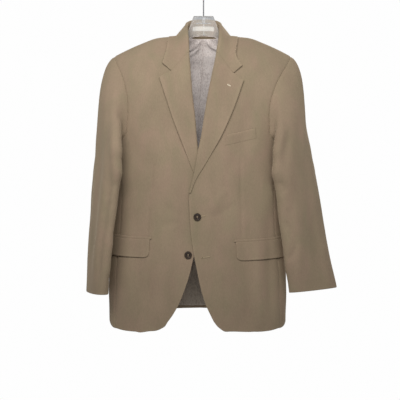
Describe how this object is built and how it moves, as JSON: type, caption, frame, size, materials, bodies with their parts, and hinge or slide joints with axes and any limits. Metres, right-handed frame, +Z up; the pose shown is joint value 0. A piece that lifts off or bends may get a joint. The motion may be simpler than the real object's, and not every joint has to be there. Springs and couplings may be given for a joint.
{
  "type": "sport coat on a hanger",
  "caption": "Single-breasted faux suede sport coat with notch lapels, flap pockets and a breast welt, hung on a clear hanger with a wire hook.",
  "frame": {"origin": "inside top of the hanger hook's curl, where a rail carries it", "axes": "+Z up, the coat's front faces -Y, +X is the wearer's left"},
  "size_m": [0.6711, 0.201, 0.9564],
  "materials": {
    "suede": "brushed faux suede, matt tan",
    "lining": "smooth woven lining with a small grey-mauve pattern",
    "label": "bare woven strip",
    "button": "dark brown horn-like resin",
    "hanger_clear": "clear moulded plastic",
    "hook_steel": "bright steel wire"
  },
  "bodies": {
    "root": {"front_left": "suede", "front_right": "suede", "side_left": "suede", "side_right": "suede", "back_left": "suede", "back_right": "suede", "sleeve_top_left": "suede", "sleeve_top_right": "suede", "sleeve_under_left": "suede", "sleeve_under_right": "suede", "collar": "suede", "lapel_left": "suede", "lapel_right": "suede", "flap_left": "suede", "flap_right": "suede", "jet_left": "suede", "jet_right": "suede", "breast_welt": "suede", "lining_back_left": "lining", "lining_back_right": "lining", "neck_label": "label", "button_upper": "button", "button_lower": "button", "hanger_body": "hanger_clear", "hanger_hook": "hook_steel"}
  },
  "joints": []
}
